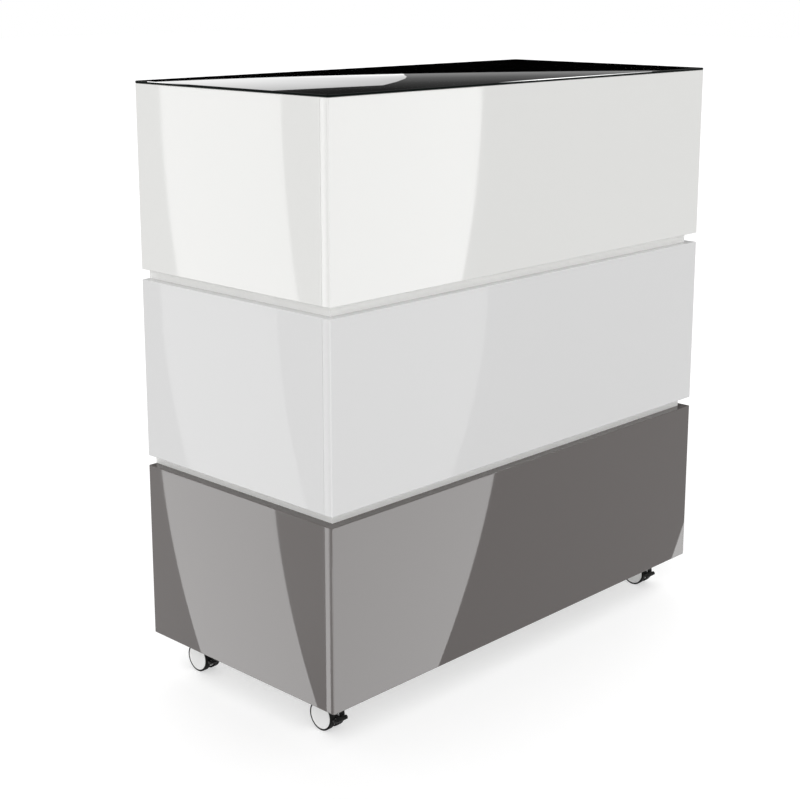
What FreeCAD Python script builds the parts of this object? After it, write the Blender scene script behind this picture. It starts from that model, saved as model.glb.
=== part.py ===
# Mobile reception counter: three lacquered bands round a white carcass, a glass top and four braked castors.
# Millimetres, +Z up, +X along the long front, the front faces -Y.
# The origin is on the floor, under the middle of the counter.
import FreeCAD, Part
import math
import os

Vector = FreeCAD.Vector

# Overall sizes
WIDTH = 1100.0
DEPTH = 520.0

# Cladding bands, from the floor up
BANDS = ("lower", "middle", "upper")
BAND_HEIGHT = 350.0
REVEAL_HEIGHT = 20.0
PANEL_THICKNESS = 19.0
PANEL_JOINT_GAP = 0.5
PANEL_CORNER_RADIUS = 2.5
PANEL_EDGE_RADIUS = 1.0

# Glass top and the pads that bond it to the carcass
GLASS_THICKNESS = 5.0
GLASS_ARRIS = 1.0
PAD_DIAMETER = 40.0
PAD_THICKNESS = 1.0
PAD_INSET = 80.0
PAD_COLUMN_COUNT = 3
PAD_ROW_COUNT = 2

# Carcass and shelves
BOARD_THICKNESS = 19.0
SHELF_THICKNESS = 19.0
SHELF_NAMES = ("lower", "upper")
SHELF_SIDE_GAP = 0.8
SHELF_SETBACK = 20.0
PIN_DIAMETER = 5.0
PIN_DEPTH = 10.0
PIN_REACH = 8.0
PIN_INSET = 40.0
PIN_HOLE_PITCH = 32.0
PIN_SPARE_HOLES = 2

# Fasteners: a countersunk carcass screw, a countersunk panel screw and a pan-head castor screw
FIT_CLEARANCE = 0.05
CARCASS_SCREW_HEAD = 10.0
CARCASS_SCREW_SOCKET = 4.0
CARCASS_SCREW_SHANK = 6.0
CARCASS_SCREW_LENGTH = 50.0
CARCASS_SCREW_SPACING = 330.0
CARCASS_SCREW_INSET = 60.0
PANEL_SCREW_HEAD = 8.0
PANEL_SCREW_SOCKET = 3.0
PANEL_SCREW_SHANK = 4.0
PANEL_SCREW_LENGTH = 30.0
PANEL_SCREW_INSET = 75.0
FRONT_SCREW_COLUMN_COUNT = 3
CASTOR_SCREW_HEAD = 8.0
CASTOR_SCREW_SOCKET = 3.0
CASTOR_SCREW_HEAD_HEIGHT = 2.4
CASTOR_SCREW_HEAD_BEVEL = 1.0
CASTOR_SCREW_SHANK = 4.0
CASTOR_SCREW_LENGTH = 16.0
SOCKET_DEPTH = 1.6
HEXAGON_SIDES = 6

# Castor places, measured from the outer faces to the swivel axes
CASTOR_SIDE_INSET = 61.5
CASTOR_REAR_INSET = 61.5
CASTOR_FRONT_INSET = 99.5

# Castor sizes
PLATE_THICKNESS = 2.5
PLATE_CORNER_RADIUS = 6.0
PLATE_EDGE = 5.0
PLATE_SCREW_CLEARANCE = 1.6
RACE_INNER_RADIUS = 10.0
RACE_OUTER_RADIUS = 14.0
RACE_HEIGHT = 0.7
SWIVEL_GAP = 0.3
KINGPIN_DIAMETER = 8.0
KINGPIN_HEAD_DIAMETER = 13.0
KINGPIN_HEAD_HEIGHT = 3.0
KINGPIN_RIVET_DIAMETER = 12.0
KINGPIN_RIVET_HEIGHT = 2.0
BOSS_DIAMETER = 34.0
BOSS_HEIGHT = 12.0
BOSS_ROOF = 7.0
TRAIL = 17.0
WHEEL_DIAMETER = 57.0
WHEEL_WIDTH = 11.0
WHEEL_TOP_CLEARANCE = 1.5
WHEEL_SIDE_CLEARANCE = 0.5
TYRE_THICKNESS = 3.6
TYRE_ROUNDING = 0.6
DISC_WALL = 3.0
DISC_DISH_DEPTH = 0.8
DISC_LIP_WIDTH = 2.0
DISC_LIP_SLOPE = 1.5
WEB_WIDTH = 12.4
WEB_AXLE_RADIUS = 10.0
WEB_NECK_RADIUS = 5.0
AXLE_DIAMETER = 6.0
RUNNING_CLEARANCE = 0.05

# Brake pedal, measured forwards and upwards from the axle
PEDAL_RING_RADIUS = 5.5
PEDAL_ARM_WIDTH = 5.0
PEDAL_SLOT_CLEARANCE = 0.2
PEDAL_RING_CLEARANCE = 3.0
PADDLE_WIDTH = 33.0
PADDLE_TREAD_CLEARANCE = 2.7
PADDLE_LENGTH = 9.0
PADDLE_SLOPE_DEGREES = 24.0
PADDLE_THICKNESS = 3.6
PADDLE_CORNER_RADIUS = 4.0

# Allowance for telling one face or edge from another
TOLERANCE = 0.01

# Castor heights and widths worked out from the sizes above
WHEEL_RADIUS = WHEEL_DIAMETER / 2
AXLE_HEIGHT = WHEEL_RADIUS
DISC_RADIUS = WHEEL_RADIUS - TYRE_THICKNESS
WHEEL_INNER_FACE = WEB_WIDTH / 2 + WHEEL_SIDE_CLEARANCE
WHEEL_OUTER_FACE = WHEEL_INNER_FACE + WHEEL_WIDTH
BOSS_BOTTOM = WHEEL_DIAMETER + WHEEL_TOP_CLEARANCE
BOSS_TOP = BOSS_BOTTOM + BOSS_HEIGHT
PLATE_BOTTOM = BOSS_TOP + SWIVEL_GAP + RACE_HEIGHT
KINGPIN_SEAT = BOSS_TOP - BOSS_ROOF
KINGPIN_HEAD_TOP = KINGPIN_SEAT - SWIVEL_GAP
PLATE_HOLE_RADIUS = (BOSS_DIAMETER + CASTOR_SCREW_HEAD) / 2 + PLATE_SCREW_CLEARANCE
PLATE_HOLE_OFFSET = PLATE_HOLE_RADIUS * math.sqrt(0.5)
GROUND_CLEARANCE = PLATE_BOTTOM + PLATE_THICKNESS

# Planes of the counter worked out from the sizes above
RIGHT_FACE = WIDTH / 2
FRONT_FACE = -DEPTH / 2
REAR_FACE = DEPTH / 2
BODY_HEIGHT = len(BANDS) * BAND_HEIGHT + (len(BANDS) - 1) * REVEAL_HEIGHT
BODY_TOP = GROUND_CLEARANCE + BODY_HEIGHT
PANEL_BACK = FRONT_FACE + PANEL_THICKNESS
SIDE_PANEL_FRONT = PANEL_BACK + PANEL_JOINT_GAP
CARCASS_SIDE = RIGHT_FACE - PANEL_THICKNESS
INNER_SIDE = CARCASS_SIDE - BOARD_THICKNESS
INNER_FRONT = PANEL_BACK + BOARD_THICKNESS
BOTTOM_TOP = GROUND_CLEARANCE + BOARD_THICKNESS
TOP_BOARD_TOP = BODY_TOP - PAD_THICKNESS
TOP_BOARD_BOTTOM = TOP_BOARD_TOP - BOARD_THICKNESS
SHELF_FRONT = INNER_FRONT + SHELF_SIDE_GAP
SHELF_REAR = REAR_FACE - SHELF_SETBACK
SHELF_COUNT = len(SHELF_NAMES)
COMPARTMENT_HEIGHT = (TOP_BOARD_BOTTOM - BOTTOM_TOP - SHELF_COUNT * SHELF_THICKNESS) / (SHELF_COUNT + 1)

CASTOR_PLACES = {
    "front_left": Vector(CASTOR_SIDE_INSET - RIGHT_FACE, FRONT_FACE + CASTOR_FRONT_INSET, 0),
    "front_right": Vector(RIGHT_FACE - CASTOR_SIDE_INSET, FRONT_FACE + CASTOR_FRONT_INSET, 0),
    "rear_left": Vector(CASTOR_SIDE_INSET - RIGHT_FACE, REAR_FACE - CASTOR_REAR_INSET, 0),
    "rear_right": Vector(RIGHT_FACE - CASTOR_SIDE_INSET, REAR_FACE - CASTOR_REAR_INSET, 0),
}

LEFT = Vector(-1, 0, 0)
RIGHT = Vector(1, 0, 0)
FORWARD = Vector(0, -1, 0)
REARWARD = Vector(0, 1, 0)
UP = Vector(0, 0, 1)
DOWN = Vector(0, 0, -1)


# Shape helpers


def block(x, y, z):
    """A block that spans a low and a high value along each axis."""
    low = Vector(x[0], y[0], z[0])
    size = Vector(x[1], y[1], z[1]) - low
    return Part.makeBox(size.x, size.y, size.z, low)


def placed(shape, position, direction):
    """A copy of a shape made along +Z, turned to a direction and moved to a position."""
    copy = shape.copy()
    copy.Placement = FreeCAD.Placement(position, FreeCAD.Rotation(UP, direction))
    return copy


def turned(profile):
    """A solid of revolution about Z from (radius, height) points."""
    points = [Vector(radius, 0, height) for radius, height in profile]
    outline = Part.makePolygon(points + points[:1])
    return Part.Face(outline).revolve(Vector(0, 0, 0), UP, 360)


def only_solid(shape):
    """The one solid of a boolean result."""
    solid, = shape.Solids
    return solid


def boxes_meet(first, second):
    """Whether the boxes round two shapes overlap."""
    return first.BoundBox.intersect(second.BoundBox)


def drilled(board, holes):
    """A board with every hole that reaches it."""
    reaching = [hole for hole in holes if boxes_meet(board, hole)]
    return only_solid(board.cut(reaching)) if reaching else board


def spread(low, high, count):
    """Evenly spaced places from low to high, both ends included."""
    step = (high - low) / (count - 1)
    return [low + step * number for number in range(count)]


def spaced(low, high, inset, spacing):
    """Evenly spaced places inside a length, no further apart than the spacing."""
    count = math.ceil((high - low - 2 * inset) / spacing) + 1
    return spread(low + inset, high - inset, count)


def side_view_point(circle, angle):
    """The point of a castor's side view on a circle of (forward, up, radius), both measured from the axle."""
    forward, up, radius = circle
    forward += radius * math.cos(angle)
    up += radius * math.sin(angle)
    return Vector(0, -TRAIL - forward, AXLE_HEIGHT + up)


def tangent_angle(circle, following):
    """The angle at which the outer line from one circle to the following one touches both of them."""
    forward = following[0] - circle[0]
    up = following[1] - circle[1]
    shrink = circle[2] - following[2]
    return math.atan2(up, forward) + math.acos(shrink / math.hypot(forward, up))


def hull_outline(circles):
    """The side-view face that wraps round circles listed clockwise."""
    edges = []
    for number, circle in enumerate(circles):
        following = circles[(number + 1) % len(circles)]
        arriving = tangent_angle(circles[number - 1], circle)
        leaving = tangent_angle(circle, following)
        swing = (arriving - leaving) % (2 * math.pi)
        arc_start = side_view_point(circle, arriving)
        arc_middle = side_view_point(circle, arriving - swing / 2)
        arc_end = side_view_point(circle, leaving)
        edges.append(Part.Arc(arc_start, arc_middle, arc_end).toShape())
        edges.append(Part.LineSegment(arc_end, side_view_point(following, leaving)).toShape())
    return Part.Face(Part.Wire(edges))


def plate_across(outline, width):
    """A side view made solid, centred on the castor's middle."""
    solid = outline.extrude(Vector(width, 0, 0))
    solid.translate(Vector(-width / 2, 0, 0))
    return solid


# Cladding and glass


def is_upright(edge):
    """Whether an edge rises, rather than lying level."""
    return edge.BoundBox.ZLength > TOLERANCE


def band_floor(number):
    """The underside of a band, counted from the floor up."""
    return GROUND_CLEARANCE + number * (BAND_HEIGHT + REVEAL_HEIGHT)


def front_panel(floor):
    """A band's front panel, which covers the ends of both side panels."""
    panel = block((-RIGHT_FACE, RIGHT_FACE), (FRONT_FACE, PANEL_BACK), (floor, floor + BAND_HEIGHT))
    corners = [edge for edge in panel.Edges
               if is_upright(edge) and edge.BoundBox.YMax < PANEL_BACK - TOLERANCE]
    panel = panel.makeFillet(PANEL_CORNER_RADIUS, corners)
    rims = [edge for edge in panel.Edges
            if not is_upright(edge) and edge.BoundBox.YMin < PANEL_BACK - TOLERANCE]
    return only_solid(panel.makeFillet(PANEL_EDGE_RADIUS, rims))


def right_panel(floor):
    """A band's right panel, which runs from a fine joint behind the front panel to the rear."""
    panel = block((CARCASS_SIDE, RIGHT_FACE), (SIDE_PANEL_FRONT, REAR_FACE), (floor, floor + BAND_HEIGHT))
    corners = [edge for edge in panel.Edges
               if is_upright(edge)
               and edge.BoundBox.XMin > CARCASS_SIDE + TOLERANCE
               and edge.BoundBox.YMin > SIDE_PANEL_FRONT + TOLERANCE]
    panel = panel.makeFillet(PANEL_CORNER_RADIUS, corners)
    rims = [edge for edge in panel.Edges
            if not is_upright(edge)
            and edge.BoundBox.XMax > CARCASS_SIDE + TOLERANCE
            and edge.BoundBox.YMax > SIDE_PANEL_FRONT + TOLERANCE]
    return only_solid(panel.makeFillet(PANEL_EDGE_RADIUS, rims))


def mirrored(shape):
    """The same piece on the left."""
    return shape.mirror(Vector(0, 0, 0), RIGHT)


def cladding():
    """All panels by node name."""
    panels = {}
    for number, band in enumerate(BANDS):
        floor = band_floor(number)
        right = right_panel(floor)
        panels["front_panel_" + band] = front_panel(floor)
        panels["left_panel_" + band] = only_solid(mirrored(right))
        panels["right_panel_" + band] = right
    return panels


def glass_top():
    """The glass sheet, flush with the cladding all round."""
    glass = block((-RIGHT_FACE, RIGHT_FACE), (FRONT_FACE, REAR_FACE), (BODY_TOP, BODY_TOP + GLASS_THICKNESS))
    glass = glass.makeFillet(PANEL_CORNER_RADIUS, [edge for edge in glass.Edges if is_upright(edge)])
    rims = [edge for edge in glass.Edges if not is_upright(edge)]
    return only_solid(glass.makeChamfer(GLASS_ARRIS, rims))


def glass_pads():
    """Bonding pads between the top board and the glass."""
    pads = []
    for x in spread(PAD_INSET - INNER_SIDE, INNER_SIDE - PAD_INSET, PAD_COLUMN_COUNT):
        for y in spread(INNER_FRONT + PAD_INSET, REAR_FACE - PAD_INSET, PAD_ROW_COUNT):
            pads.append(Part.makeCylinder(PAD_DIAMETER / 2, PAD_THICKNESS, Vector(x, y, TOP_BOARD_TOP)))
    return Part.makeCompound(pads)


# Fasteners


def hex_socket(across_corners):
    """The hexagon socket sunk into a screw's head."""
    corners = []
    for number in range(HEXAGON_SIDES):
        turn = 2 * math.pi * number / HEXAGON_SIDES
        corners.append(Vector(math.cos(turn), math.sin(turn), 0) * (across_corners / 2))
    return Part.Face(Part.makePolygon(corners + corners[:1])).extrude(DOWN * SOCKET_DEPTH)


def countersunk_profile(head, shank, length, clearance):
    """Half the section of a countersunk screw below its head's top, or of its hole."""
    head_radius = head / 2 + clearance
    shank_radius = shank / 2 + clearance
    cone = (head - shank) / 2
    tip = shank / 2
    return [(0, 0), (head_radius, 0), (shank_radius, -cone), (shank_radius, tip - length - clearance),
            (0, -length - clearance)]


def countersunk_screw(head, socket, shank, length):
    """A countersunk screw along Z, its head's top at the origin."""
    screw = turned(countersunk_profile(head, shank, length, 0))
    return only_solid(screw.cut(hex_socket(socket)))


def countersunk_hole(head, shank, length):
    """The hole of a countersunk screw, from the same origin."""
    return turned(countersunk_profile(head, shank, length, FIT_CLEARANCE))


def carcass_screw_places():
    """Head places and directions of the screws that join the carcass boards."""
    front_middle = PANEL_BACK + BOARD_THICKNESS / 2
    top_middle = TOP_BOARD_TOP - BOARD_THICKNESS / 2
    side_middle = CARCASS_SIDE - BOARD_THICKNESS / 2
    along_depth = spaced(INNER_FRONT, REAR_FACE, CARCASS_SCREW_INSET, CARCASS_SCREW_SPACING)
    along_width = spaced(-INNER_SIDE, INNER_SIDE, CARCASS_SCREW_INSET, CARCASS_SCREW_SPACING)
    along_height = spaced(BOTTOM_TOP, TOP_BOARD_BOTTOM, CARCASS_SCREW_INSET, CARCASS_SCREW_SPACING)
    places = []
    for side, outward in ((-1, LEFT), (1, RIGHT)):
        places += [(Vector(side * CARCASS_SIDE, front_middle, z), outward) for z in along_height]
        places += [(Vector(side * CARCASS_SIDE, y, top_middle), outward) for y in along_depth]
        places += [(Vector(side * side_middle, y, GROUND_CLEARANCE), DOWN) for y in along_depth]
    places += [(Vector(x, front_middle, GROUND_CLEARANCE), DOWN) for x in along_width]
    places += [(Vector(x, PANEL_BACK, top_middle), FORWARD) for x in along_width]
    return places


def panel_screw_places():
    """Head places and directions of the screws that hold the panels from inside the carcass."""
    places = []
    for number in range(len(BANDS)):
        floor = band_floor(number)
        for z in (floor + PANEL_SCREW_INSET, floor + BAND_HEIGHT - PANEL_SCREW_INSET):
            for y in (INNER_FRONT + PANEL_SCREW_INSET, REAR_FACE - PANEL_SCREW_INSET):
                places += [(Vector(-INNER_SIDE, y, z), RIGHT), (Vector(INNER_SIDE, y, z), LEFT)]
            reach = INNER_SIDE - PANEL_SCREW_INSET
            for x in spread(-reach, reach, FRONT_SCREW_COLUMN_COUNT):
                places.append((Vector(x, INNER_FRONT, z), REARWARD))
    return places


def castor_screw_offsets():
    """The four screw places of a castor plate, from its middle."""
    offsets = (-PLATE_HOLE_OFFSET, PLATE_HOLE_OFFSET)
    return [Vector(x, y, 0) for x in offsets for y in offsets]


def castor_screw():
    """A pan-head wood screw along Z, its head's top at the origin."""
    head = CASTOR_SCREW_HEAD / 2
    shank = CASTOR_SCREW_SHANK / 2
    under_head = -CASTOR_SCREW_HEAD_HEIGHT
    end = under_head - CASTOR_SCREW_LENGTH
    screw = turned([(0, 0), (head - CASTOR_SCREW_HEAD_BEVEL, 0), (head, -CASTOR_SCREW_HEAD_BEVEL),
                    (head, under_head), (shank, under_head), (shank, end + shank), (0, end)])
    return only_solid(screw.cut(hex_socket(CASTOR_SCREW_SOCKET)))


def castor_screw_places():
    """Head places and directions of the screws that hold the castor plates."""
    head_top = Vector(0, 0, PLATE_BOTTOM - CASTOR_SCREW_HEAD_HEIGHT)
    places = []
    for place in CASTOR_PLACES.values():
        places += [(place + offset + head_top, DOWN) for offset in castor_screw_offsets()]
    return places


def castor_screw_hole():
    """The pilot hole of a castor screw, along Z from the same origin as the screw."""
    radius = CASTOR_SCREW_SHANK / 2 + FIT_CLEARANCE
    depth = CASTOR_SCREW_HEAD_HEIGHT + CASTOR_SCREW_LENGTH + FIT_CLEARANCE
    return Part.makeCylinder(radius, depth, Vector(0, 0, 0), DOWN)


def shelf_floors():
    """The undersides of the shelves, which part the inside into equal compartments."""
    pitch = COMPARTMENT_HEIGHT + SHELF_THICKNESS
    return [BOTTOM_TOP + COMPARTMENT_HEIGHT + pitch * number for number in range(SHELF_COUNT)]


def shelf_pin_places(spare_holes):
    """Pin places on both sides: under each shelf, with spare hole levels above and below it if wanted."""
    places = []
    for floor in shelf_floors():
        for level in range(-spare_holes, spare_holes + 1):
            z = floor - PIN_DIAMETER / 2 + level * PIN_HOLE_PITCH
            for y in (SHELF_FRONT + PIN_INSET, SHELF_REAR - PIN_INSET):
                places += [(Vector(-INNER_SIDE, y, z), RIGHT), (Vector(INNER_SIDE, y, z), LEFT)]
    return places


def shelf_pin():
    """A shelf pin along Z: the part below the origin sits in the board."""
    return Part.makeCylinder(PIN_DIAMETER / 2, PIN_DEPTH + PIN_REACH, Vector(0, 0, -PIN_DEPTH))


def shelf_pin_hole():
    """The hole of a shelf pin, from the same origin."""
    depth = PIN_DEPTH + FIT_CLEARANCE
    return Part.makeCylinder(PIN_DIAMETER / 2 + FIT_CLEARANCE, depth, Vector(0, 0, 0), DOWN)


def group(shape, places):
    """Separate copies of one fastener at many places."""
    return [placed(shape, position, direction) for position, direction in places]


# Carcass


def carcass():
    """The five carcass boards by node name, without holes."""
    bottom = block((-CARCASS_SIDE, CARCASS_SIDE), (PANEL_BACK, REAR_FACE), (GROUND_CLEARANCE, BOTTOM_TOP))
    right = block((INNER_SIDE, CARCASS_SIDE), (PANEL_BACK, REAR_FACE), (BOTTOM_TOP, BODY_TOP))
    left = block((-CARCASS_SIDE, -INNER_SIDE), (PANEL_BACK, REAR_FACE), (BOTTOM_TOP, BODY_TOP))
    front = block((-INNER_SIDE, INNER_SIDE), (PANEL_BACK, INNER_FRONT), (BOTTOM_TOP, BODY_TOP))
    top = block((-INNER_SIDE, INNER_SIDE), (INNER_FRONT, REAR_FACE), (TOP_BOARD_BOTTOM, TOP_BOARD_TOP))
    return {"carcass_bottom": bottom, "carcass_side_left": left, "carcass_side_right": right,
            "carcass_front": front, "carcass_top": top}


def shelves():
    """The loose shelves by node name."""
    side = INNER_SIDE - SHELF_SIDE_GAP
    boards = {}
    for name, floor in zip(SHELF_NAMES, shelf_floors()):
        ceiling = floor + SHELF_THICKNESS
        boards["shelf_" + name] = block((-side, side), (SHELF_FRONT, SHELF_REAR), (floor, ceiling))
    return boards


# Castor pieces, each with its swivel axis on Z and the floor at zero


def castor_plate():
    """The top plate with its screw holes, kingpin hole and raised bearing race."""
    half = PLATE_HOLE_OFFSET + PLATE_EDGE
    plate = block((-half, half), (-half, half), (PLATE_BOTTOM, GROUND_CLEARANCE))
    plate = plate.makeFillet(PLATE_CORNER_RADIUS, [edge for edge in plate.Edges if is_upright(edge)])
    race_bottom = PLATE_BOTTOM - RACE_HEIGHT
    race = turned([(RACE_INNER_RADIUS, PLATE_BOTTOM), (RACE_OUTER_RADIUS, PLATE_BOTTOM),
                   (RACE_OUTER_RADIUS, race_bottom), (RACE_INNER_RADIUS, race_bottom)])
    holes = [kingpin_solid(FIT_CLEARANCE)]
    for offset in castor_screw_offsets():
        holes.append(Part.makeCylinder(CASTOR_SCREW_SHANK / 2 + FIT_CLEARANCE, GROUND_CLEARANCE, offset))
    return only_solid(plate.fuse(race).cut(holes))


def kingpin_solid(clearance):
    """The pin that joins plate and body: a flush rivet head above, a shank and a retaining head below."""
    shank = KINGPIN_DIAMETER / 2 + clearance
    rivet = KINGPIN_RIVET_DIAMETER / 2 + clearance
    head = KINGPIN_HEAD_DIAMETER / 2
    return turned([(0, GROUND_CLEARANCE), (rivet, GROUND_CLEARANCE),
                   (shank, GROUND_CLEARANCE - KINGPIN_RIVET_HEIGHT), (shank, KINGPIN_HEAD_TOP),
                   (head, KINGPIN_HEAD_TOP), (head, KINGPIN_HEAD_TOP - KINGPIN_HEAD_HEIGHT),
                   (0, KINGPIN_HEAD_TOP - KINGPIN_HEAD_HEIGHT)])


def castor_body():
    """The swivel body: a round boss on the kingpin and a web between the wheels, slotted for the pedal."""
    boss = Part.makeCylinder(BOSS_DIAMETER / 2, BOSS_HEIGHT, Vector(0, 0, BOSS_BOTTOM))
    neck_up = BOSS_BOTTOM + BOSS_HEIGHT / 2 - AXLE_HEIGHT
    rear_neck = (WEB_NECK_RADIUS - TRAIL, neck_up, WEB_NECK_RADIUS)
    front_neck = (BOSS_DIAMETER / 2 - WEB_NECK_RADIUS - TRAIL, neck_up, WEB_NECK_RADIUS)
    web = plate_across(hull_outline([(0, 0, WEB_AXLE_RADIUS), rear_neck, front_neck]), WEB_WIDTH)
    head_pocket = Part.makeCylinder(KINGPIN_HEAD_DIAMETER / 2 + SWIVEL_GAP, KINGPIN_SEAT)
    kingpin_bore = Part.makeCylinder(KINGPIN_DIAMETER / 2 + RUNNING_CLEARANCE, BOSS_TOP)
    slot_side = PEDAL_ARM_WIDTH / 2 + PEDAL_SLOT_CLEARANCE
    ring_room = PEDAL_RING_RADIUS + PEDAL_RING_CLEARANCE
    slot_depth = (-TRAIL - WEB_AXLE_RADIUS, ring_room - TRAIL)
    slot = block((-slot_side, slot_side), slot_depth, (0, AXLE_HEIGHT + ring_room))
    axle_hole = Part.makeCylinder(AXLE_DIAMETER / 2, WEB_WIDTH, axle_point(-WEB_WIDTH / 2), RIGHT)
    return only_solid(boss.fuse(web).cut([head_pocket, kingpin_bore, slot, axle_hole]))


def axle_point(x):
    """A point of the axle's line."""
    return Vector(x, -TRAIL, AXLE_HEIGHT)


def castor_axle():
    """The axle, which ends inside both wheels."""
    half = WHEEL_OUTER_FACE - DISC_WALL - WHEEL_SIDE_CLEARANCE
    return Part.makeCylinder(AXLE_DIAMETER / 2, 2 * half, axle_point(-half), RIGHT)


def wheel_disc():
    """A wheel without its tyre along Z: a dished outer face at zero, a blind bore from the inner face."""
    bore = AXLE_DIAMETER / 2 + RUNNING_CLEARANCE
    lip = DISC_RADIUS - DISC_LIP_WIDTH
    dish = lip - DISC_LIP_SLOPE
    return turned([(0, -DISC_DISH_DEPTH), (dish, -DISC_DISH_DEPTH), (lip, 0), (DISC_RADIUS, 0),
                   (DISC_RADIUS, -WHEEL_WIDTH), (bore, -WHEEL_WIDTH), (bore, -DISC_WALL), (0, -DISC_WALL)])


def wheel_tyre():
    """A tyre along Z, as wide as its disc."""
    seat = DISC_RADIUS + FIT_CLEARANCE
    ring = turned([(seat, 0), (WHEEL_RADIUS, 0), (WHEEL_RADIUS, -WHEEL_WIDTH), (seat, -WHEEL_WIDTH)])
    shoulders = [edge for edge in ring.Edges
                 if not is_upright(edge) and edge.BoundBox.XMax > WHEEL_RADIUS - TOLERANCE]
    return only_solid(ring.makeFillet(TYRE_ROUNDING, shoulders))


def brake_pedal():
    """The pedal: a ring on the axle, an arm between the wheels and a paddle across both of them."""
    radius = PADDLE_THICKNESS / 2
    slope = math.radians(PADDLE_SLOPE_DEGREES)
    run = PADDLE_LENGTH - PADDLE_THICKNESS
    root = (WHEEL_RADIUS + PADDLE_TREAD_CLEARANCE + radius, 0, radius)
    tip = (root[0] + run * math.cos(slope), -run * math.sin(slope), radius)
    arm = plate_across(hull_outline([(0, 0, PEDAL_RING_RADIUS), root]), PEDAL_ARM_WIDTH)
    paddle = plate_across(hull_outline([root, tip]), PADDLE_WIDTH).common(paddle_corners(tip[0] + radius))
    bore_radius = AXLE_DIAMETER / 2 + RUNNING_CLEARANCE
    bore = Part.makeCylinder(bore_radius, PEDAL_ARM_WIDTH, axle_point(-PEDAL_ARM_WIDTH / 2), RIGHT)
    return only_solid(arm.fuse(paddle).cut(bore))


def paddle_corners(reach):
    """An upright block that rounds the paddle's two front corners in plan."""
    half = PADDLE_WIDTH / 2
    corner_block = block((-half, half), (-TRAIL - reach, -TRAIL), (0, WHEEL_DIAMETER))
    corners = [edge for edge in corner_block.Edges
               if is_upright(edge) and edge.BoundBox.YMax < -TRAIL - TOLERANCE]
    return corner_block.makeFillet(PADDLE_CORNER_RADIUS, corners)


def castor_pieces():
    """The pieces of one castor by name."""
    pieces = {"plate": castor_plate(), "body": castor_body(), "axle": castor_axle(), "pedal": brake_pedal()}
    for side, outward in (("left", LEFT), ("right", RIGHT)):
        outer_middle = axle_point(outward.x * WHEEL_OUTER_FACE)
        pieces["wheel_" + side] = placed(wheel_disc(), outer_middle, outward)
        pieces["tyre_" + side] = placed(wheel_tyre(), outer_middle, outward)
    return pieces


# Assembly


def assembly():
    """Every node of the counter by name."""
    carcass_screw = countersunk_screw(CARCASS_SCREW_HEAD, CARCASS_SCREW_SOCKET,
                                      CARCASS_SCREW_SHANK, CARCASS_SCREW_LENGTH)
    carcass_hole = countersunk_hole(CARCASS_SCREW_HEAD, CARCASS_SCREW_SHANK, CARCASS_SCREW_LENGTH)
    panel_screw = countersunk_screw(PANEL_SCREW_HEAD, PANEL_SCREW_SOCKET,
                                    PANEL_SCREW_SHANK, PANEL_SCREW_LENGTH)
    panel_hole = countersunk_hole(PANEL_SCREW_HEAD, PANEL_SCREW_SHANK, PANEL_SCREW_LENGTH)
    kingpin_places = [(place, UP) for place in CASTOR_PLACES.values()]
    holes = group(carcass_hole, carcass_screw_places())
    holes += group(panel_hole, panel_screw_places())
    holes += group(castor_screw_hole(), castor_screw_places())
    holes += group(shelf_pin_hole(), shelf_pin_places(PIN_SPARE_HOLES))

    nodes = {}
    for name, board in {**carcass(), **cladding()}.items():
        nodes[name] = drilled(board, holes)
    nodes.update(shelves())
    nodes["shelf_pins"] = Part.makeCompound(group(shelf_pin(), shelf_pin_places(0)))
    nodes["carcass_screws"] = Part.makeCompound(group(carcass_screw, carcass_screw_places()))
    nodes["panel_screws"] = Part.makeCompound(group(panel_screw, panel_screw_places()))
    nodes["castor_screws"] = Part.makeCompound(group(castor_screw(), castor_screw_places()))
    nodes["castor_kingpins"] = Part.makeCompound(group(kingpin_solid(0), kingpin_places))
    nodes["glass_top"] = glass_top()
    nodes["glass_pads"] = glass_pads()
    for castor, place in CASTOR_PLACES.items():
        for piece, shape in castor_pieces().items():
            nodes["castor_" + castor + "_" + piece] = shape.translated(place)
    return nodes


os.makedirs("parts", exist_ok=True)
for node, shape in assembly().items():
    shape.exportStep("parts/" + node + ".step")
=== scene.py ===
"""Looks of the mobile reception counter: a material for every node, a pale studio and the camera."""
import bpy
import math
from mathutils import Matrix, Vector


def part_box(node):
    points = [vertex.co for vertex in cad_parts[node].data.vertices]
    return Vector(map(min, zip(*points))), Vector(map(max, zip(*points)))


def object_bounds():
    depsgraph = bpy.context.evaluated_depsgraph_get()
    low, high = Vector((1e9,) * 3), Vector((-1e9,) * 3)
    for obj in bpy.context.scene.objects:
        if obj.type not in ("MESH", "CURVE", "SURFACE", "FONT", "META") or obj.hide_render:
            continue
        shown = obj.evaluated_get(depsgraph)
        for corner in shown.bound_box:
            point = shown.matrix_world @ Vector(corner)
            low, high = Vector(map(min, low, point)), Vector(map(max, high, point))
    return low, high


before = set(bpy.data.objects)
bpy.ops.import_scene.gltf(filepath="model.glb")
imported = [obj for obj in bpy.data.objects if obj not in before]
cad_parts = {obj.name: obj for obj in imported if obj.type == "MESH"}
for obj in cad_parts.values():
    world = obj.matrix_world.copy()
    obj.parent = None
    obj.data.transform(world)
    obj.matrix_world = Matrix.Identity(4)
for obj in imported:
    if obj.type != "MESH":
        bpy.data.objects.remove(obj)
cad_low, cad_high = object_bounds()

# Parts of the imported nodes' names
BANDS = ("upper", "middle", "lower")
FACES = ("front", "left", "right")
CASTORS = ("front_left", "front_right", "rear_left", "rear_right")
SIDES = ("left", "right")

# Directions, and the angle between upright and level
RIGHT = Vector((1, 0, 0))
FORWARD = Vector((0, -1, 0))
UP = Vector((0, 0, 1))
QUARTER_TURN_DEGREES = 90

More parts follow.
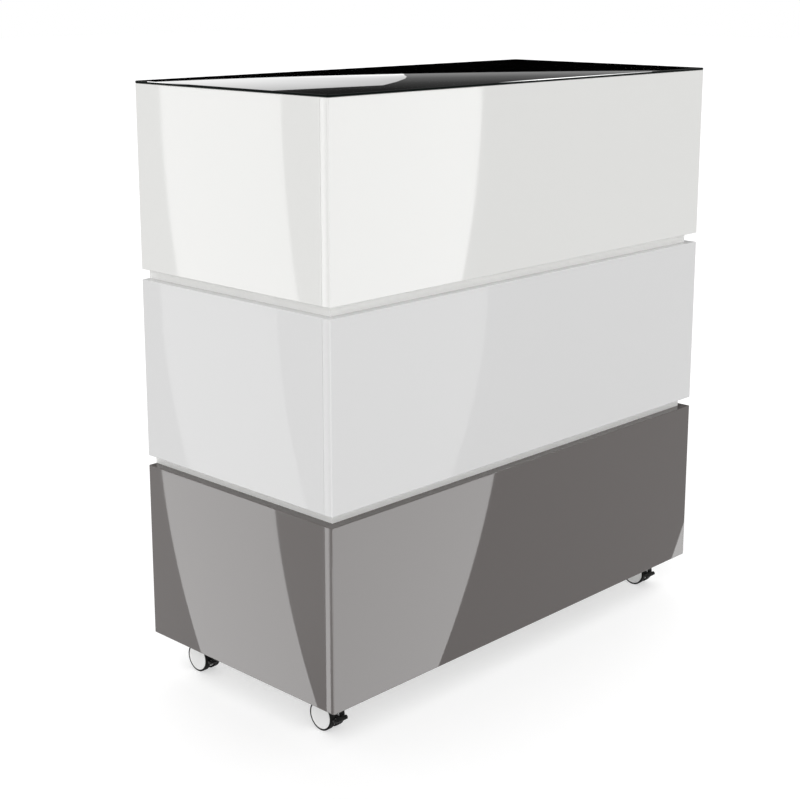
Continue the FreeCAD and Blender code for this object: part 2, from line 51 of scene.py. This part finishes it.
# Planes of the counter in metres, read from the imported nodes
LEFT_FACE = cad_low.x
FRONT_FACE = cad_low.y
REAR_FACE = cad_high.y
GLASS_TOP = cad_high.z
SHELF_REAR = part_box("shelf_lower")[1].y
REVEAL_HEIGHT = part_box("front_panel_upper")[0].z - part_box("front_panel_middle")[1].z

# Colours of the finishes and of the studio
WHITE_LACQUER = (0.77, 0.77, 0.754)
LIGHT_GREY_LACQUER = (0.722, 0.722, 0.722)
DARK_GREY_LACQUER = (0.112, 0.100, 0.096)
WHITE_BOARD = (0.92, 0.92, 0.905)
BLACK_GLASS = (0.003, 0.003, 0.003)
GLASS_EDGE = (0.002, 0.005, 0.004)
PAD_BLACK = (0.045, 0.045, 0.045)
ZINC = (0.62, 0.63, 0.65)
CASTOR_BLACK = (0.008, 0.008, 0.008)
CASTOR_BLACK_WORN = (0.035, 0.035, 0.035)
CASTOR_WHITE = (0.93, 0.93, 0.925)
RUBBER = (0.004, 0.004, 0.004)
RUBBER_DUST = (0.014, 0.0135, 0.013)
STUDIO_WHITE = (1.0, 1.0, 1.0)

# Each band's lacquer: its name, its colour and how strongly it mirrors
LACQUERS = {"upper": ("white_lacquer", WHITE_LACQUER, 0.345),
            "middle": ("light_grey_lacquer", LIGHT_GREY_LACQUER, 0.083),
            "lower": ("dark_grey_lacquer", DARK_GREY_LACQUER, 0.5)}

# How finely noise is divided
SMOOTH = 2.0
RAGGED = 5.0

# Sockets of the mix node that mix two colours
MIX_FACTOR = 0
MIX_FIRST = 6
MIX_SECOND = 7
MIX_RESULT = 2

# Rounded edges: the samples that find them, and the cosine of the turn that counts as fully worn
BEVEL_SAMPLES = 4
WORN_TURN = 0.8

# The middle of a node's own box
GENERATED_MIDDLE = (0.5, 0.5, 0.5)

# Lacquer: clouds in the colour, wiping haze, orange peel; sizes and depths in metres
LACQUER_CLOUD_SIZE = 0.35
LACQUER_CLOUD_SHADE = 0.006
LACQUER_HAZE_SIZE = 0.12
LACQUER_ROUGHNESS = (0.018, 0.034)
LACQUER_PEEL_SIZE = 0.007
LACQUER_PEEL_DEPTH = 2e-7

# Board: embossed melamine with an edging on its rear edge
BOARD_PEARL_SIZE = 0.0016
BOARD_PEARL_DEPTH = 2.5e-5
BOARD_MARK_SIZE = 0.05
BOARD_SHADE = 0.02
BOARD_ROUGHNESS = (0.36, 0.50)
BOARD_EDGE_RADIUS = 0.0007
EDGING_THICKNESS = 0.001
EDGING_SEAM = 0.00025
EDGING_SEAM_SHADE = 0.55

# Glass
GLASS_SMUDGE_SIZE = 0.09
GLASS_ROUGHNESS = (0.003, 0.008)
GLASS_EDGE_UPRIGHT = 0.5
GLASS_SHADE = 0.15
GLASS_SPECULARS = (0.5, 0.02)

# Bonding pads
PAD_CELL_SIZE = 0.0012
PAD_CELL_DEPTH = 2e-4
PAD_SHADE = 0.2
PAD_ROUGHNESS = (0.60, 0.80)

# Zinc plating
ZINC_CRYSTAL_SIZE = 0.004
ZINC_CRYSTAL_DEPTH = 4e-6
ZINC_SHADE = 0.07
ZINC_WORN_SHADE = 0.14
ZINC_ROUGHNESS = (0.24, 0.42)
ZINC_EDGE_RADIUS = 0.0004

# Moulded plastics and rubber of the castors
GRAIN_SIZE = 0.0005
GRAIN_DEPTH = 2e-5
GRAIN_ROUGHNESS = (0.36, 0.52)
PLASTIC_EDGE_RADIUS = 0.0006
PLASTIC_SPECULAR = 0.35
DISC_RING_SIZE = 0.0022
DISC_RING_DEPTH = 2.5e-6
DISC_RING_WANDER = 0.4
DISC_TONE_SIZE = 0.05
DISC_SHADE = 0.01
DISC_ROUGHNESS = (0.12, 0.22)
RUBBER_GRAIN_SIZE = 0.0009
RUBBER_GRAIN_DEPTH = 4e-5
RUBBER_SCUFF_SIZE = 0.008
RUBBER_SCUFF_RANGE = (0.5, 0.8)
RUBBER_ROUGHNESS = (0.58, 0.75)
RUBBER_SPECULAR = 0.1

# Camera
CAMERA_PLACE = Vector((-2.280, -2.093, 1.351))
CAMERA_AZIMUTH_DEGREES = 46.02
CAMERA_TILT_DEGREES = 12.47
CAMERA_LENS_MM = 69.2
CAMERA_SHIFT_UP = -0.10

# Light that the counter receives: a fill from all round, a sun on the near corner and one on the far corner
FILL_STRENGTH = 0.63
SUN_STRENGTHS = {"near_sun": 1.63, "far_sun": 1.26}
SUN_AZIMUTHS_DEGREES = {"near_sun": -48.5, "far_sun": 131.5}
SUN_ELEVATION_DEGREES = 32.0
SUN_ANGLE_DEGREES = 70.0

# Floor
FLOOR_HALF_SIDE = 30.0
FLOOR_ALBEDO = 0.60
FLOOR_GLOW = 0.50

# Bright sheets on the floor that the gloss panels mirror, and where each shows on them.
# A zone runs from a low to a high place along the panel's top edge, in metres.
# Each band sets its zones off by a step, and further down their edges drift by a lean and by a bow.
LEFT_ZONE = (-0.146, 0.185)
PANEL_END_ZONE = (-0.2528, -0.2413)
FRONT_ZONE = (-1.50, -0.167)
FRONT_REST_ZONE = (-0.167, 0.611)
FRONT_CORNER_ZONE = (0.611, 0.67)
LEFT_DRIFTS = {"upper": (0.0, 0.0, 0.30), "middle": (0.0185, 0.0, 0.58), "lower": (0.0345, 0.12, 0.53)}
FRONT_DRIFTS = {"upper": (0.0, 0.0, 0.41), "middle": (0.023, 0.0, 0.82), "lower": (0.049, 0.27, 0.52)}
NO_DRIFT = (0.0, 0.0, 0.0)
ZONE_ROWS = 12
SHEET_HEIGHT = 0.002
LEFT_GLOWS = {"upper": 3.8, "middle": 4.1, "lower": 4.1}
PANEL_END_GLOWS = {"upper": 5.2, "middle": 5.6, "lower": 4.5}
FRONT_GLOWS = {"upper": 4.9, "middle": 4.1, "lower": 4.05}
FRONT_REST_GLOWS = {"upper": 1.0, "middle": 1.0, "lower": 0.75}

# Screen round the studio for the glass to mirror: dark low down, with a pale band and a ceiling above
SCREEN_RADIUS = 8.0
SCREEN_HEIGHTS = (1.0, 1.8, 2.1, 2.9, 4.2)
SCREEN_GLOWS = (0.0, 0.0, 0.12, 0.05, 0.60)
SCREEN_SIDES = 64
CEILING_RADIUS = 0.5
CEILING_HEIGHT = 7.5
CEILING_GLOW = 0.10

# A grey wall and a softbox before the screen, by where they show on the glass, in metres.
# The wall's foot crosses the glass from its left side to its front and bows towards the far corner.
# The softbox glows by a strength for its rear and one for its front, in shares from its start to its end.
WALL_START = Vector((-0.545, 0.201, GLASS_TOP))
WALL_END = Vector((0.404, -0.268, GLASS_TOP))
WALL_BOW = 0.085
WALL_STEPS = 12
WALL_FADE = Vector((-0.40, -0.40, 0.0))
WALL_GLOWS = (0.35, 0.16, 0.066, 0.024, 0.011)
WALL_PLACE = 0.98
SOFTBOX_FRONT = ((-0.60, -0.115), (-0.323, -0.163), (-0.240, -0.115), (-0.163, -0.063), (-0.116, -0.023),
                 (-0.086, 0.012))
SOFTBOX_END = 0.516
SOFTBOX_GLOWS = (1.36, 0.80)
SOFTBOX_SHARES = (0.97, 0.97, 0.98, 1.04, 1.18, 1.40)
SOFTBOX_PLACE = 0.96

# Bright strips overhead that show as thin lines on two arrises of the glass, by places along x and along y
FRONT_ARRIS_PLACES = (-0.125, 0.0, 0.36)
FRONT_ARRIS_GLOWS = (0.0, 22.0, 5.0)
LEFT_ARRIS_PLACES = (0.222, 0.19, 0.10)
LEFT_ARRIS_GLOWS = (14.0, 14.0, 0.0)
ARRIS_LIGHT_PLACE = 3.0
ARRIS_LIGHT_HALF_WIDTH = 0.15


# Node graphs


class Graph:
    """A node tree with short calls for the nodes used here."""

    def __init__(self, tree):
        self.tree = tree
        tree.nodes.clear()

    def add(self, kind, inputs=None, **settings):
        """A node with its settings; an input is a plain value or another node's socket."""
        node = self.tree.nodes.new("ShaderNode" + kind)
        for name, value in settings.items():
            setattr(node, name, value)
        for name, value in (inputs or {}).items():
            if isinstance(value, bpy.types.NodeSocket):
                self.tree.links.new(value, node.inputs[name])
            else:
                node.inputs[name].default_value = value
        return node

    def math(self, operation, first, second=0.0):
        """The result of a sum, a comparison or the like."""
        return self.add("Math", {0: first, 1: second}, operation=operation).outputs[0]

    def ranged(self, value, low, high, start=0.0, end=1.0):
        """A value that goes from low to high while the given one goes from start to end."""
        inputs = {"Value": value, "From Min": start, "From Max": end, "To Min": low, "To Max": high}
        return self.add("MapRange", inputs).outputs["Result"]

    def place(self, axis=None):
        """The place on the object in its own metres, or that place along one axis."""
        place = self.add("TexCoord").outputs["Object"]
        if axis is None:
            return place
        return self.add("SeparateXYZ", {0: place}).outputs[axis]

    def noise(self, size, detail=SMOOTH):
        """Noise from 0 to 1, with grains of that many metres."""
        inputs = {"Vector": self.place(), "Scale": 1 / size, "Detail": detail}
        return self.add("TexNoise", inputs).outputs["Fac"]

    def cells(self, size):
        """Round cells of that many metres, from 0 in the middle to about 1."""
        return self.add("TexVoronoi", {"Vector": self.place(), "Scale": 1 / size}).outputs["Distance"]

    def colour(self, factor, first, second):
        """A colour between two others."""
        inputs = {MIX_FACTOR: factor, MIX_FIRST: first, MIX_SECOND: second}
        return self.add("Mix", inputs, data_type="RGBA").outputs[MIX_RESULT]

    def bump(self, height, depth, normal=None):
        """A normal roughened by a height from 0 to 1 that is that many metres deep."""
        inputs = {"Height": height, "Distance": depth}
        if normal:
            inputs["Normal"] = normal
        return self.add("Bump", inputs).outputs[0]

    def soft_edges(self, radius):
        """The normal with sharp edges rounded off."""
        return self.add("Bevel", {"Radius": radius}, samples=BEVEL_SAMPLES).outputs[0]

    def edges(self, radius):
        """About 1 on edges that the radius rounds off, 0 on flat faces."""
        flat = self.add("NewGeometry").outputs["Normal"]
        inputs = {0: self.soft_edges(radius), 1: flat}
        along = self.add("VectorMath", inputs, operation="DOT_PRODUCT").outputs["Value"]
        return self.ranged(along, 1.0, 0.0, start=WORN_TURN, end=1.0)

    def surface(self, inputs):
        """Makes a principled shader the material's surface."""
        self.output(self.add("BsdfPrincipled", inputs))

    def output(self, shader, kind="OutputMaterial"):
        """Makes a shader the tree's result."""
        self.tree.links.new(shader.outputs[0], self.add(kind).inputs["Surface"])


def new_material(name):
    """A material and its empty graph."""
    material = bpy.data.materials.new(name)
    material.use_nodes = True
    return material, Graph(material.node_tree)


def opaque(colour, share=1.0):
    """A colour, or a darker or paler shade of it, with full alpha."""
    return tuple(channel * share for channel in colour) + (1.0,)


def shades(colour, spread):
    """A darker and a paler shade of a colour."""
    return opaque(colour, 1 - spread), opaque(colour, 1 + spread)


# Finishes


def lacquer(name, colour, specular):
    """High-gloss paint: faint clouds in the colour, wiping haze and a trace of orange peel."""
    material, graph = new_material(name)
    cloud = graph.noise(LACQUER_CLOUD_SIZE)
    haze = graph.noise(LACQUER_HAZE_SIZE, RAGGED)
    graph.surface({"Base Color": graph.colour(cloud, *shades(colour, LACQUER_CLOUD_SHADE)),
                   "Roughness": graph.ranged(haze, *LACQUER_ROUGHNESS),
                   "Normal": graph.bump(graph.noise(LACQUER_PEEL_SIZE), LACQUER_PEEL_DEPTH),
                   "Specular IOR Level": specular})
    return material


def board(name, rear):
    """White melamine: a pearl emboss, handling marks and the seam of the edging near its rear edge."""
    material, graph = new_material(name)
    pearl = graph.noise(BOARD_PEARL_SIZE)
    marks = graph.noise(BOARD_MARK_SIZE, RAGGED)
    white = graph.colour(marks, *shades(WHITE_BOARD, BOARD_SHADE))
    from_seam = graph.math("ABSOLUTE", graph.math("SUBTRACT", graph.place("Y"), rear - EDGING_THICKNESS))
    seam = graph.math("LESS_THAN", from_seam, EDGING_SEAM)
    graph.surface({"Base Color": graph.colour(seam, white, opaque(WHITE_BOARD, EDGING_SEAM_SHADE)),
                   "Roughness": graph.ranged(marks, *BOARD_ROUGHNESS),
                   "Normal": graph.bump(pearl, BOARD_PEARL_DEPTH, graph.soft_edges(BOARD_EDGE_RADIUS))})
    return material


def glass():
    """Black glass: finger marks in its polish, ground edges with a green tinge."""
    material, graph = new_material("black_glass")
    smudge = graph.noise(GLASS_SMUDGE_SIZE, RAGGED)
    normal = graph.add("TexCoord").outputs["Normal"]
    upright = graph.math("ABSOLUTE", graph.add("SeparateXYZ", {0: normal}).outputs["Z"])
    edge = graph.math("LESS_THAN", upright, GLASS_EDGE_UPRIGHT)
    black = graph.colour(smudge, *shades(BLACK_GLASS, GLASS_SHADE))
    graph.surface({"Base Color": graph.colour(edge, black, opaque(GLASS_EDGE)),
                   "Roughness": graph.ranged(smudge, *GLASS_ROUGHNESS),
                   "Specular IOR Level": graph.ranged(edge, *GLASS_SPECULARS)})
    return material


def bonding_pad():
    """Black foam tape with open cells."""
    material, graph = new_material("bonding_pad")
    cell = graph.cells(PAD_CELL_SIZE)
    graph.surface({"Base Color": graph.colour(cell, *shades(PAD_BLACK, PAD_SHADE)),
                   "Roughness": graph.ranged(cell, *PAD_ROUGHNESS),
                   "Normal": graph.bump(cell, PAD_CELL_DEPTH)})
    return material


def zinc_steel():
    """Zinc-plated steel: fine crystals in tone and polish, edges worn bright."""
    material, graph = new_material("zinc_steel")
    crystal = graph.cells(ZINC_CRYSTAL_SIZE)
    plating = graph.colour(crystal, *shades(ZINC, ZINC_SHADE))
    worn = graph.edges(ZINC_EDGE_RADIUS)
    graph.surface({"Base Color": graph.colour(worn, plating, opaque(ZINC, 1 + ZINC_WORN_SHADE)),
                   "Roughness": graph.ranged(crystal, *ZINC_ROUGHNESS),
                   "Normal": graph.bump(crystal, ZINC_CRYSTAL_DEPTH),
                   "Metallic": 1.0})
    return material


def black_plastic():
    """Moulded black plastic: a spark-eroded grain, edges rubbed paler."""
    material, graph = new_material("castor_black")
    grain = graph.noise(GRAIN_SIZE)
    worn = graph.math("MULTIPLY", graph.edges(PLASTIC_EDGE_RADIUS), grain)
    graph.surface({"Base Color": graph.colour(worn, opaque(CASTOR_BLACK), opaque(CASTOR_BLACK_WORN)),
                   "Roughness": graph.ranged(grain, *GRAIN_ROUGHNESS),
                   "Normal": graph.bump(grain, GRAIN_DEPTH, graph.soft_edges(PLASTIC_EDGE_RADIUS)),
                   "Specular IOR Level": PLASTIC_SPECULAR})
    return material


def white_disc():
    """Glossy white plastic with faint turning rings round the axle."""
    material, graph = new_material("castor_white")
    low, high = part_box("castor_front_left_wheel_left")
    from_corner = graph.add("TexCoord").outputs["Generated"]
    inputs = {0: from_corner, 1: GENERATED_MIDDLE}
    from_middle = graph.add("VectorMath", inputs, operation="SUBTRACT").outputs[0]
    ring_count = (high.z - low.z) / DISC_RING_SIZE
    inputs = {"Vector": from_middle, "Scale": ring_count, "Distortion": DISC_RING_WANDER}
    rings = graph.add("TexWave", inputs, wave_type="RINGS", rings_direction="X").outputs["Fac"]
    tone = graph.noise(DISC_TONE_SIZE)
    graph.surface({"Base Color": graph.colour(tone, *shades(CASTOR_WHITE, DISC_SHADE)),
                   "Roughness": graph.ranged(tone, *DISC_ROUGHNESS),
                   "Normal": graph.bump(rings, DISC_RING_DEPTH)})
    return material


def rubber():
    """Black tyre rubber, dusty in patches."""
    material, graph = new_material("castor_tyre")
    grain = graph.noise(RUBBER_GRAIN_SIZE)
    scuff = graph.ranged(graph.noise(RUBBER_SCUFF_SIZE, RAGGED), 0.0, 1.0, *RUBBER_SCUFF_RANGE)
    graph.surface({"Base Color": graph.colour(scuff, opaque(RUBBER), opaque(RUBBER_DUST)),
                   "Roughness": graph.ranged(scuff, *RUBBER_ROUGHNESS),
                   "Normal": graph.bump(grain, RUBBER_GRAIN_DEPTH),
                   "Specular IOR Level": RUBBER_SPECULAR})
    return material


def dress(material, *nodes):
    """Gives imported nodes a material."""
    for node in nodes:
        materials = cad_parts[node].data.materials
        materials.clear()
        materials.append(material)


def dress_counter():
    """Materials of the cladding, the carcass and the top."""
    for band in BANDS:
        dress(lacquer(*LACQUERS[band]), *[face + "_panel_" + band for face in FACES])
    dress(board("white_board", REAR_FACE), "carcass_bottom", "carcass_top", "carcass_front",
          "carcass_side_left", "carcass_side_right")
    dress(board("white_board_shelf", SHELF_REAR), "shelf_lower", "shelf_upper")
    dress(glass(), "glass_top")
    dress(bonding_pad(), "glass_pads")


def dress_hardware():
    """Materials of the fasteners and the castors."""
    steel = zinc_steel()
    black = black_plastic()
    white = white_disc()
    tyre = rubber()
    dress(steel, "shelf_pins", "carcass_screws", "panel_screws", "castor_screws", "castor_kingpins")
    for castor in CASTORS:
        start = "castor_" + castor + "_"
        dress(steel, start + "plate", start + "axle")
        dress(black, start + "body", start + "pedal")
        dress(white, *[start + "wheel_" + side for side in SIDES])
        dress(tyre, *[start + "tyre_" + side for side in SIDES])


# Studio


def link(name, data):
    """A new object in the scene."""
    made = bpy.data.objects.new(name, data)
    bpy.context.scene.collection.objects.link(made)
    return made


def stage_mesh(name, points, faces, material):
    """A mesh of the studio, which isn't part of the counter."""
    mesh = bpy.data.meshes.new(name)
    mesh.from_pydata(points, [], faces)
    mesh.materials.append(material)
    made = link(name, mesh)
    return made


def mirrors_only(made):
    """Lets only mirroring surfaces see an object of the studio."""
    made.visible_camera = False
    made.visible_diffuse = False
    made.visible_shadow = False


def seen_directly(graph):
    """1 for a ray from the camera, from a mirror or through a clear pane, otherwise 0."""
    path = graph.add("LightPath")
    seen = graph.math("MAXIMUM", path.outputs["Is Camera Ray"], path.outputs["Is Glossy Ray"])
    return graph.math("MAXIMUM", seen, path.outputs["Is Transmission Ray"])


def studio_world():
    """White where it is seen, a soft fill where it lights."""
    world = bpy.data.worlds.new("studio")
    bpy.context.scene.world = world
    world.use_nodes = True
    graph = Graph(world.node_tree)
    fill = graph.add("Background", {"Strength": FILL_STRENGTH, "Color": opaque(STUDIO_WHITE)})
    white = graph.add("Background", {"Strength": 1.0, "Color": opaque(STUDIO_WHITE)})
    inputs = {0: seen_directly(graph), 1: fill.outputs[0], 2: white.outputs[0]}
    graph.output(graph.add("MixShader", inputs), "OutputWorld")


def floor():
    """A pale floor that reads white and keeps the counter's shadow."""
    material, graph = new_material("floor")
    diffuse = graph.add("BsdfDiffuse", {"Color": opaque(STUDIO_WHITE, FLOOR_ALBEDO)})
    glow = graph.add("Emission", {"Strength": graph.math("MULTIPLY", seen_directly(graph), FLOOR_GLOW)})
    graph.output(graph.add("AddShader", {0: diffuse.outputs[0], 1: glow.outputs[0]}))
    material.cycles.emission_sampling = "NONE"
    side = FLOOR_HALF_SIDE
    corners = [(-side, -side, 0), (side, -side, 0), (side, side, 0), (-side, side, 0)]
    stage_mesh("floor", corners, [(0, 1, 2, 3)], material)


def suns():
    """Broad soft lights from above two opposite corners of the counter."""
    tilt = math.radians(QUARTER_TURN_DEGREES - SUN_ELEVATION_DEGREES)
    for name, strength in SUN_STRENGTHS.items():
        lamp = bpy.data.lights.new(name, "SUN")
        lamp.energy = strength
        lamp.angle = math.radians(SUN_ANGLE_DEGREES)
        made = link(name, lamp)
        made.visible_glossy = False
        made.rotation_euler = (tilt, 0, math.radians(SUN_AZIMUTHS_DEGREES[name]))


def glowing():
    """A material that glows as strongly as its mesh says, and isn't sampled as a lamp."""
    material, graph = new_material("glowing")
    glow = graph.add("Attribute", attribute_name="glow").outputs["Fac"]
    graph.output(graph.add("Emission", {"Strength": glow}))
    material.cycles.emission_sampling = "NONE"
    return material


def glowing_mesh(name, lines, glows, material, shares=None):
    """A mesh through lines of points that glows in mirrors: a strength for each line, in shares along it."""
    size = len(lines[0])
    shares = shares or [1.0] * size
    points = [point for line in lines for point in line]
    faces = []
    for start in range(0, len(points) - size, size):
        faces += [(n, n + 1, n + 1 + size, n + size) for n in range(start, start + size - 1)]
    made = stage_mesh(name, points, faces, material)
    strengths = [glow * share for glow in glows for share in shares]
    made.data.attributes.new("glow", "FLOAT", "POINT").data.foreach_set("value", strengths)
    mirrors_only(made)


def mirror_ray(point, normal):
    """The camera's image in a mirror through a point with a normal, and the way from there to the point."""
    image = CAMERA_PLACE - 2 * (CAMERA_PLACE - point).dot(normal) * normal
    return image, point - image


def spot_on_floor(point, normal):
    """Where the camera sees the floor mirrored through a point of an upright panel."""
    image, ray = mirror_ray(point, normal)
    return image + ray * ((SHEET_HEIGHT - image.z) / ray.z)


def spot_on_screen(point, share):
    """Where the camera sees the screen mirrored through a point of the glass, at a share of its radius."""
    image, ray = mirror_ray(point, UP)
    start = image.xy
    along = ray.xy
    square = along.dot(along)
    nearest = -start.dot(along) / square
    room = (SCREEN_RADIUS * share) ** 2 - start.dot(start)
    return image + ray * (nearest + math.sqrt(nearest * nearest + room / square))


def sheet(name, band, normal, zone, drift, glow, material):
    """A bright sheet on the floor that shows as a lit zone in one panel and in the reveal below it."""
    low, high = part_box("front_panel_" + band)
    face = Vector((LEFT_FACE, FRONT_FACE, 0)).project(normal)
    along = UP.cross(normal)
    step, lean, bow = drift
    lines = []
    for place in zone:
        line = []
        for row in range(ZONE_ROWS + 1):
            depth = (high.z - low.z + REVEAL_HEIGHT) * row / ZONE_ROWS
            drifted = place + step - lean * depth - bow * depth * depth
            line.append(spot_on_floor(face + along * drifted + UP * (high.z - depth), normal))
        lines.append(line)
    glowing_mesh(name, lines, (glow, glow), material)


def sheets(material):
    """The bright sheets for every band and face, and one more at the lower band's far corner."""
    for band in BANDS:
        left_drift = LEFT_DRIFTS[band]
        front_drift = FRONT_DRIFTS[band]
        left_glow = LEFT_GLOWS[band]
        end_glow = PANEL_END_GLOWS[band]
        front_glow = FRONT_GLOWS[band]
        rest_glow = FRONT_REST_GLOWS[band]
        sheet("left_sheet_" + band, band, RIGHT, LEFT_ZONE, left_drift, left_glow, material)
        sheet("end_sheet_" + band, band, RIGHT, PANEL_END_ZONE, NO_DRIFT, end_glow, material)
        sheet("front_sheet_" + band, band, FORWARD, FRONT_ZONE, front_drift, front_glow, material)
        sheet("rest_sheet_" + band, band, FORWARD, FRONT_REST_ZONE, front_drift, rest_glow, material)
    corner_drift = FRONT_DRIFTS["lower"]
    corner_glow = FRONT_GLOWS["lower"]
    sheet("corner_sheet", "lower", FORWARD, FRONT_CORNER_ZONE, corner_drift, corner_glow, material)


def wall_foot(share):
    """A point of the line on the glass where the wall's foot shows, from its start to its end."""
    point = WALL_START.lerp(WALL_END, share)
    # The whole bow in the middle, none at the ends
    point.y += WALL_BOW * 4 * share * (1 - share)
    return point


def glass_lights(material):
    """The grey wall and the softbox that the glass mirrors."""
    foot = [wall_foot(step / WALL_STEPS) for step in range(WALL_STEPS + 1)]
    wall = []
    for number in range(len(WALL_GLOWS)):
        faded = WALL_FADE * (number / (len(WALL_GLOWS) - 1))
        wall.append([spot_on_screen(point + faded, WALL_PLACE) for point in foot])
    glowing_mesh("wall", wall, WALL_GLOWS, material)
    front = [Vector((x, y, GLASS_TOP)) for x, y in SOFTBOX_FRONT]
    steps = len(front) - 1
    rear = [wall_foot(SOFTBOX_END * step / steps) for step in range(steps + 1)]
    softbox = [[spot_on_screen(point, SOFTBOX_PLACE) for point in line] for line in (rear, front)]
    glowing_mesh("softbox", softbox, SOFTBOX_GLOWS, material, SOFTBOX_SHARES)


def arris_light(name, points, outward, glows, material):
    """A bright strip overhead that an arris of the glass mirrors through some of its points."""
    normal = (outward + UP).normalized()
    across = outward * ARRIS_LIGHT_HALF_WIDTH
    lines = []
    for point in points:
        image, ray = mirror_ray(point, normal)
        spot = image + ray * ARRIS_LIGHT_PLACE
        lines.append((spot - across, spot + across))
    glowing_mesh(name, lines, glows, material)


def arris_lights(material):
    """The strips for the front and the left arris."""
    front = [Vector((x, FRONT_FACE, GLASS_TOP)) for x in FRONT_ARRIS_PLACES]
    left = [Vector((LEFT_FACE, y, GLASS_TOP)) for y in LEFT_ARRIS_PLACES]
    arris_light("front_arris_light", front, FORWARD, FRONT_ARRIS_GLOWS, material)
    arris_light("left_arris_light", left, -RIGHT, LEFT_ARRIS_GLOWS, material)


def ring(radius, height):
    """Points of a level circle, the last one at the first."""
    turns = [math.tau * side / SCREEN_SIDES for side in range(SCREEN_SIDES + 1)]
    return [(radius * math.cos(turn), radius * math.sin(turn), height) for turn in turns]


def screen(material):
    """A ring round the studio that closes towards the ceiling, mirrored by the glass."""
    lines = [ring(SCREEN_RADIUS, height) for height in SCREEN_HEIGHTS]
    lines.append(ring(CEILING_RADIUS, CEILING_HEIGHT))
    glowing_mesh("screen", lines, SCREEN_GLOWS + (CEILING_GLOW,), material)


def camera():
    """The camera at the photo's angle."""
    data = bpy.data.cameras.new("camera")
    data.lens = CAMERA_LENS_MM
    data.shift_y = CAMERA_SHIFT_UP
    made = link("camera", data)
    made.location = CAMERA_PLACE
    tilt = math.radians(QUARTER_TURN_DEGREES - CAMERA_TILT_DEGREES)
    made.rotation_euler = (tilt, 0, math.radians(-CAMERA_AZIMUTH_DEGREES))
    bpy.context.scene.camera = made


def studio():
    """The light, the floor and everything that the gloss mirrors."""
    glow = glowing()
    studio_world()
    floor()
    suns()
    sheets(glow)
    glass_lights(glow)
    arris_lights(glow)
    screen(glow)


dress_counter()
dress_hardware()
studio()
camera()
bpy.context.scene.view_settings.view_transform = "Standard"
